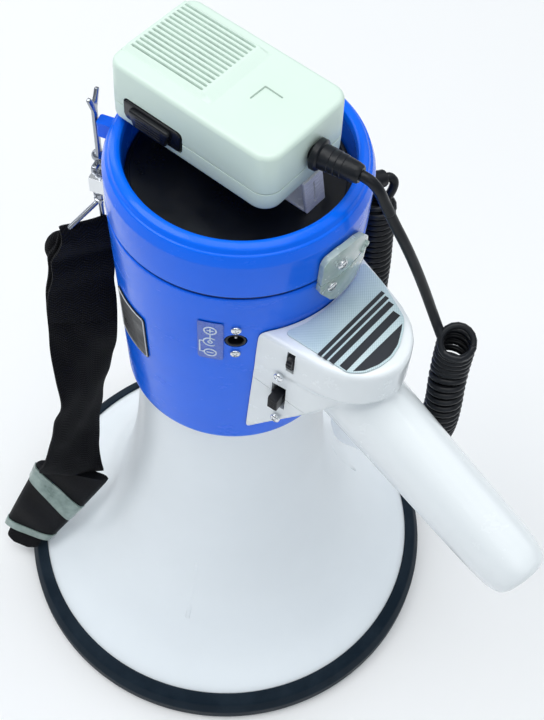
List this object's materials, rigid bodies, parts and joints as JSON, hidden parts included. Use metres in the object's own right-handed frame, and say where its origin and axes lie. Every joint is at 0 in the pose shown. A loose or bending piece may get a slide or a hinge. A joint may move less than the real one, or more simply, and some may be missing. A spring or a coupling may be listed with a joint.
{
  "type": "handheld megaphone",
  "caption": "Pistol-grip megaphone with a flared re-entrant horn, hinged battery housing, clip-on hand microphone on a coiled cord, and a carrying strap.",
  "frame": {"origin": "centre of the horn mouth, on the plane of the rim, where the megaphone stands when it rests on its mouth", "axes": "+Z along the horn axis from the mouth to the rear cover; +X towards the pistol grip; +Y completes a right-handed frame"},
  "size_m": [0.2891, 0.23, 0.3639],
  "materials": {
    "white_plastic": "glossy moulded cool white",
    "blue_plastic": "glossy moulded saturated blue",
    "black_plastic": "fine matte black",
    "panel_plastic": "satin near-black",
    "mint_plastic": "satin pale mint grey",
    "label_paper": "fine textured printed label",
    "rim_rubber": "dark navy-grey rubber",
    "seal_rubber": "soft black",
    "cord_rubber": "satin black cord jacket",
    "webbing_fabric": "woven black webbing",
    "pad_vinyl": "soft black vinyl",
    "band_satin": "satin grey-green binding",
    "chrome_metal": "bright chrome",
    "steel_metal": "zinc plated steel",
    "magnet_ferrite": "ferrite and painted yoke",
    "cone_film": "thin formed dome",
    "board_laminate": "green laminate",
    "cell_jacket": "printed metal jacket",
    "hinge_clear": "clear flexible plastic"
  },
  "bodies": {
    "housing": {"amplifier_board": "board_laminate", "battery_cell_1": "cell_jacket", "battery_cell_2": "cell_jacket", "battery_cell_3": "cell_jacket", "battery_cell_4": "cell_jacket", "battery_cell_5": "cell_jacket", "battery_cell_6": "cell_jacket", "battery_cell_7": "cell_jacket", "battery_cell_8": "cell_jacket", "battery_holder": "black_plastic", "coiled_cord": "cord_rubber", "cord_plug": "cord_rubber", "cover_seal": "seal_rubber", "dc_jack": "black_plastic", "dc_jack_screw_lower": "chrome_metal", "dc_jack_screw_upper": "chrome_metal", "driver_front_plate": "black_plastic", "driver_magnet": "magnet_ferrite", "driver_top_plate": "steel_metal", "handle_front_shell": "white_plastic", "handle_rear_shell": "white_plastic", "hinge_leaf_body": "hinge_clear", "hinge_screw_body": "chrome_metal", "horn_bell": "white_plastic", "housing_body": "blue_plastic", "mic_lead": "cord_rubber", "mode_switch_body": "black_plastic", "mode_switch_screw_lower": "chrome_metal", "mode_switch_screw_upper": "chrome_metal", "nameplate": "label_paper", "polarity_label": "label_paper", "rating_label": "label_paper", "reflector_cup": "white_plastic", "rim_gasket": "rim_rubber", "snap_hook": "chrome_metal", "strap_lug": "chrome_metal", "strap_pad": "pad_vinyl", "strap_pad_band": "band_satin", "strap_ring": "chrome_metal", "strap_webbing": "webbing_fabric", "throat_tube": "white_plastic", "trigger_pin": "steel_metal"},
    "rear_cover": {"rear_cover": "blue_plastic", "rear_panel": "panel_plastic", "cover_contact_board": "board_laminate", "hinge_leaf_cover": "hinge_clear", "hinge_screw_cover": "chrome_metal", "latch_nub": "blue_plastic", "mic_hanger_clip": "chrome_metal"},
    "microphone": {"mic_front_shell": "mint_plastic", "mic_rear_shell": "mint_plastic", "mic_capsule": "steel_metal", "mic_cord_boot": "cord_rubber", "mic_hanger_stud": "chrome_metal"},
    "talk_button": {"mic_talk_button": "black_plastic"},
    "trigger_lever": {"trigger": "white_plastic"},
    "mode_knob": {"mode_switch_knob": "black_plastic"},
    "volume_knob": {"volume_wheel": "black_plastic"},
    "cover_latch": {"latch_lever": "chrome_metal"},
    "driver_diaphragm": {"diaphragm": "cone_film"}
  },
  "joints": [
    {"name": "cover_hinge", "type": "hinge", "parent": "housing", "child": "rear_cover", "pos_m": [0.05492, 0.0087, 0.3075], "axis": [-0.1564, 0.9877, 0], "range_deg": [0, 105], "deforming": ["mic_lead"]},
    {"name": "mic_unhook", "type": "slide", "parent": "rear_cover", "child": "microphone", "axis": [0, 0, 1], "range_m": [0, 0.014], "deforming": ["mic_lead"]},
    {"name": "talk_button_press", "type": "slide", "parent": "microphone", "child": "talk_button", "axis": [-0.1045, 0.9945, 0], "range_m": [0, 0.002], "stiffness_N_per_m": 900, "springref_m": -0.001},
    {"name": "trigger_squeeze", "type": "hinge", "parent": "housing", "child": "trigger_lever", "pos_m": [0.0985, 0, 0.2256], "axis": [0, 1, 0], "range_deg": [0, 6], "stiffness_Nm_per_rad": 0.4, "springref_deg": -2.86},
    {"name": "mode_switch_slide", "type": "slide", "parent": "housing", "child": "mode_knob", "axis": [0, 0, 1], "range_m": [-0.003, 0.003]},
    {"name": "volume_turn", "type": "hinge", "parent": "housing", "child": "volume_knob", "pos_m": [0.05695, -0.02191, 0.2762], "axis": [0.9806, 0.1959, 0], "range_deg": [-135, 135]},
    {"name": "latch_open", "type": "hinge", "parent": "housing", "child": "cover_latch", "pos_m": [-0.05365, -0.02502, 0.2946], "axis": [0.4226, -0.9063, 0], "range_deg": [0, 70]},
    {"name": "diaphragm_move", "type": "slide", "parent": "housing", "child": "driver_diaphragm", "axis": [0, 0, 1], "range_m": [-0.0005, 0.0005], "stiffness_N_per_m": 2000}
  ]
}
